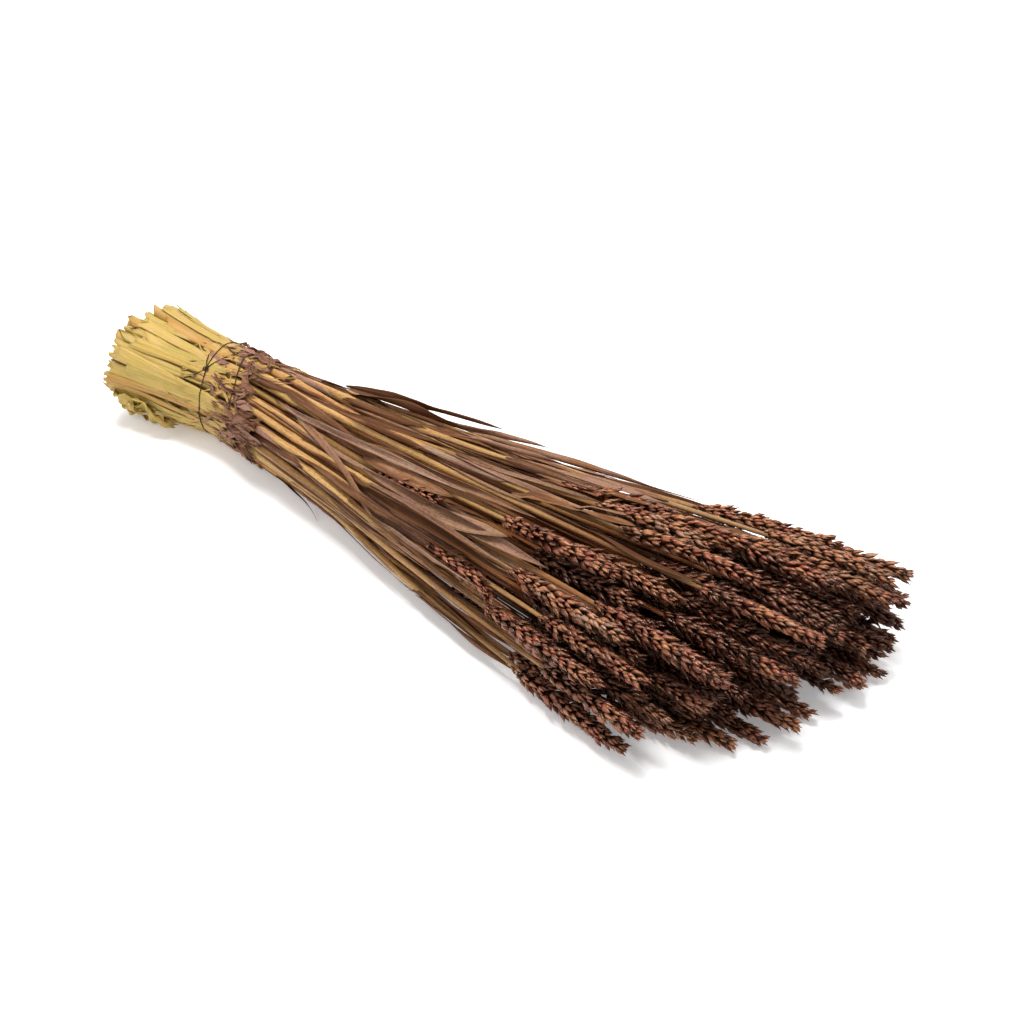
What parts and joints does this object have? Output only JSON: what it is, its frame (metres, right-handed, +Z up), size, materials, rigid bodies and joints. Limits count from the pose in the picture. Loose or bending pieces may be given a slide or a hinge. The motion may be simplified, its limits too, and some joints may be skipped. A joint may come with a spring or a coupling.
{
  "type": "bundle of dried wheat",
  "caption": "Bundle of dried, dyed wheat lying on its side, tied with thin string near its cut ends and fanning out to dark ears.",
  "frame": {"origin": "middle of the footprint of the bounding box, on the surface that the bundle lies on", "axes": "+X along the bundle from the cut ends to the ear tips, +Y across it, +Z up"},
  "size_m": [0.6104, 0.2228, 0.0845],
  "materials": {
    "wheat": "dry and matt: pale yellow at the cut ends, golden straws, dark reddish brown ears",
    "string": "thin matt brown twine"
  },
  "bodies": {
    "root": {"stalk_53": "wheat", "stalk_54": "wheat", "stalk_55": "wheat", "stalk_56": "wheat", "stalk_57": "wheat", "stalk_58": "wheat", "stalk_59": "wheat", "stalk_60": "wheat", "stalk_61": "wheat", "stalk_62": "wheat", "stalk_63": "wheat", "stalk_64": "wheat", "stalk_65": "wheat", "stalk_66": "wheat", "stalk_67": "wheat", "stalk_68": "wheat", "stalk_69": "wheat", "stalk_70": "wheat", "stalk_71": "wheat", "stalk_72": "wheat", "stalk_73": "wheat", "stalk_74": "wheat", "stalk_75": "wheat", "stalk_76": "wheat", "stalk_77": "wheat", "stalk_78": "wheat", "stalk_79": "wheat", "stalk_80": "wheat", "stalk_81": "wheat", "stalk_82": "wheat", "stalk_83": "wheat", "stalk_84": "wheat", "stalks_01_06": "wheat", "stalks_02_07": "wheat", "stalks_03_08": "wheat", "stalks_04_09": "wheat", "stalks_05_10": "wheat", "stalks_11_19": "wheat", "stalks_12_20": "wheat", "stalks_13_21": "wheat", "stalks_14_22": "wheat", "stalks_15_23": "wheat", "stalks_16_24": "wheat", "stalks_17_25": "wheat", "stalks_18_26": "wheat", "stalks_27_40": "wheat", "stalks_28_41": "wheat", "stalks_29_42": "wheat", "stalks_30_43": "wheat", "stalks_31_44": "wheat", "stalks_32_45": "wheat", "stalks_33_46": "wheat", "stalks_34_47": "wheat", "stalks_35_48": "wheat", "stalks_36_49": "wheat", "stalks_37_50": "wheat", "stalks_38_51": "wheat", "stalks_39_52": "wheat", "string": "string"}
  },
  "joints": []
}
